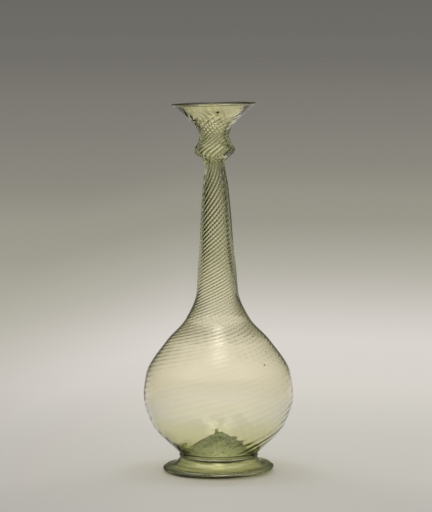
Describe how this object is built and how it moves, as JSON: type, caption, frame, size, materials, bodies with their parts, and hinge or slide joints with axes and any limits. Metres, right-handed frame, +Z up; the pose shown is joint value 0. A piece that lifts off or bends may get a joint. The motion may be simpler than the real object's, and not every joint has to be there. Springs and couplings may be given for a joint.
{
  "type": "long-necked glass bottle",
  "caption": "Hand-blown glass bottle: round bulb on a splayed foot, tall neck with twisted ribs, bulged collar and flared funnel mouth.",
  "frame": {"origin": "on the surface that the bottle stands on, at the middle of the foot", "axes": "+Z up along the bottle; the neck leans a little towards -X, and the front of the picture faces -Y"},
  "size_m": [0.1018, 0.1018, 0.25],
  "materials": {
    "vessel_glass": "clear pale yellow-green glass, fire-polished, with fine seeds and twisted ribs",
    "foot_glass": "clear yellow-green glass, deeper in colour where it is thick, with tooling lines",
    "scar_glass": "rough broken glass"
  },
  "bodies": {
    "root": {"vessel": "vessel_glass", "foot": "foot_glass", "pontil_scar": "scar_glass"}
  },
  "joints": []
}
